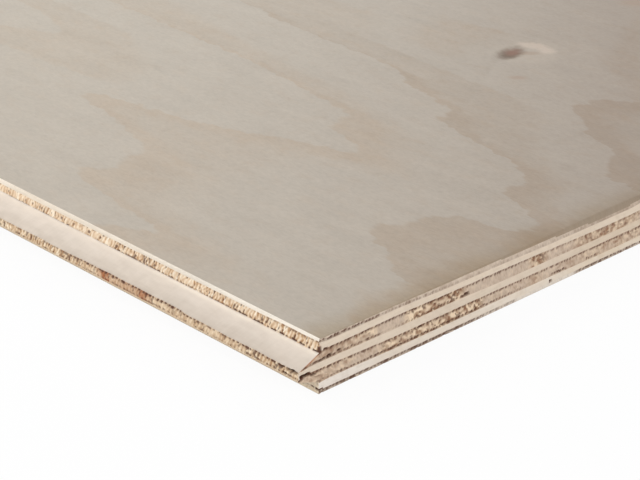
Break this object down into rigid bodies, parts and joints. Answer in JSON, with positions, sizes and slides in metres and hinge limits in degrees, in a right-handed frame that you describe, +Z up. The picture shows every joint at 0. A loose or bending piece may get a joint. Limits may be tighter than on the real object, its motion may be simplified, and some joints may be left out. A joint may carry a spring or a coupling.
{
  "type": "underlayment panel",
  "caption": "Tongue-and-groove softwood plywood underlayment panel of cross-laid veneers, for subfloors over joists.",
  "frame": {"origin": "centre of the bounding box at the back veneer's underside, where the panel rests", "axes": "+Z up out of the face, Y along the sheet and the face grain, X across the sheet with the tongue at -X and the groove at +X"},
  "size_m": [1.2146, 2.438, 0.0183],
  "materials": {
    "face_veneer": "rotary-peeled softwood veneer, lightly sanded, unfinished",
    "crossband_veneer": "softwood veneer laid across the sheet, sawn and milled at the edges",
    "centre_veneer": "softwood veneer laid along the sheet, sawn and milled at the edges",
    "back_veneer": "rotary-peeled softwood veneer, unsanded"
  },
  "bodies": {
    "root": {"face_ply": "face_veneer", "upper_crossband": "crossband_veneer", "upper_centre_ply": "centre_veneer", "middle_crossband": "crossband_veneer", "lower_centre_ply": "centre_veneer", "lower_crossband": "crossband_veneer", "back_ply": "back_veneer"}
  },
  "joints": []
}
